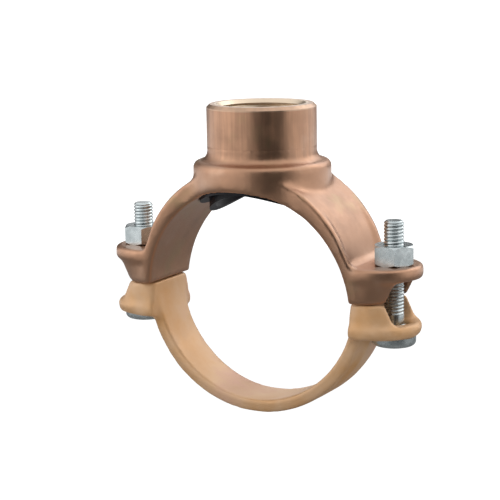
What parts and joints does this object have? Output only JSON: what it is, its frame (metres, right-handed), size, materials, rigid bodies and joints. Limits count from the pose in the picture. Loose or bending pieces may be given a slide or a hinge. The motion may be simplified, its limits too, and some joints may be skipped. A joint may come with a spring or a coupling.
{
  "type": "mechanical tee",
  "caption": "Bolted branch outlet for copper tube: a bronze saddle housing with a threaded outlet and seal, closed by a painted strap with two track bolts and heavy nuts.",
  "frame": {"origin": "centre of the run tube, on the axis of the outlet", "axes": "+Y along the run tube, +Z along the outlet towards its mouth, +X through the two bolts"},
  "size_m": [0.1636, 0.0652, 0.147],
  "materials": {
    "cast_bronze": "as cast, satin",
    "seal_rubber": "moulded, smooth",
    "painted_iron": "copper-coloured enamel",
    "zinc_steel": "bright zinc plate"
  },
  "bodies": {
    "housing": {"outlet_housing": "cast_bronze", "outlet_gasket": "seal_rubber"},
    "strap": {"lower_housing": "painted_iron", "bolt_left": "zinc_steel", "bolt_right": "zinc_steel"},
    "left_nut": {"nut_left": "zinc_steel"},
    "right_nut": {"nut_right": "zinc_steel"}
  },
  "joints": [
    {"name": "clamp_opening", "type": "slide", "parent": "housing", "child": "strap", "axis": [0, 0, -1], "range_m": [0, 0.01111]},
    {"name": "left_nut_turn", "type": "hinge", "parent": "housing", "child": "left_nut", "pos_m": [-0.0677, 0, 0.0203], "axis": [0, 0, 1], "range_deg": [0, 2520]},
    {"name": "right_nut_turn", "type": "hinge", "parent": "housing", "child": "right_nut", "pos_m": [0.0677, 0, 0.0203], "axis": [0, 0, 1], "range_deg": [0, 2520]}
  ],
  "couplings": [
    {"joint": "left_nut_turn", "follows": "clamp_opening", "rad_per_m": 3957.9},
    {"joint": "right_nut_turn", "follows": "clamp_opening", "rad_per_m": 3957.9}
  ]
}
